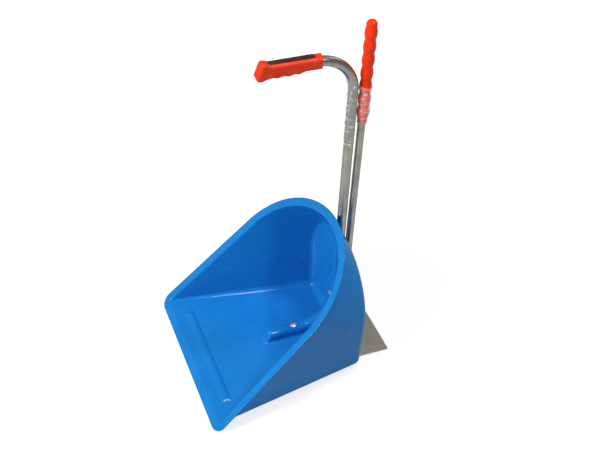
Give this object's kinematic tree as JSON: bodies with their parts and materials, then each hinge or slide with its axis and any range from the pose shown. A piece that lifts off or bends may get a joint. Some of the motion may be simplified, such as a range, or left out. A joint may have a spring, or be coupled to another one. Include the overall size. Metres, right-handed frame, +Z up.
{
  "type": "long-handled scoop and scraper set",
  "caption": "Upright scoop pan with a flat sloping mouth on a bent tube handle, with a flat-bladed scraper standing behind it.",
  "frame": {"origin": "on the ground, under the middle of the whole set's footprint", "axes": "+Z up; -Y towards the lip of the scoop, +Y towards the scraper behind it; +X across the lip"},
  "size_m": [0.4162, 0.4346, 0.7702],
  "materials": {
    "blue_plastic": "satin moulded blue plastic",
    "bright_tube": "plain drawn tube with a satin shine",
    "orange_rubber": "soft matte orange-red",
    "dark_inlay": "soft matte dark brown",
    "ribbed_plastic": "satin orange-red",
    "rivet_metal": "bright",
    "pin_steel": "plain",
    "blade_steel": "dull plated sheet",
    "weld_metal": "plain weld under plating"
  },
  "bodies": {
    "scoop": {"scoop_pan": "blue_plastic", "handle_tube": "bright_tube", "handle_grip": "orange_rubber", "grip_inlay": "dark_inlay", "floor_rivet": "rivet_metal", "floor_rivet_pin": "pin_steel", "back_rivet": "rivet_metal", "back_rivet_pin": "pin_steel"},
    "scraper": {"scraper_tube": "bright_tube", "scraper_grip": "ribbed_plastic", "scraper_blade": "blade_steel", "blade_weld": "weld_metal"}
  },
  "joints": [
    {"name": "scraper_lift", "type": "slide", "parent": "scoop", "child": "scraper", "axis": [0.0004, 0.0436, 0.999], "range_m": [0, 0.8]}
  ]
}
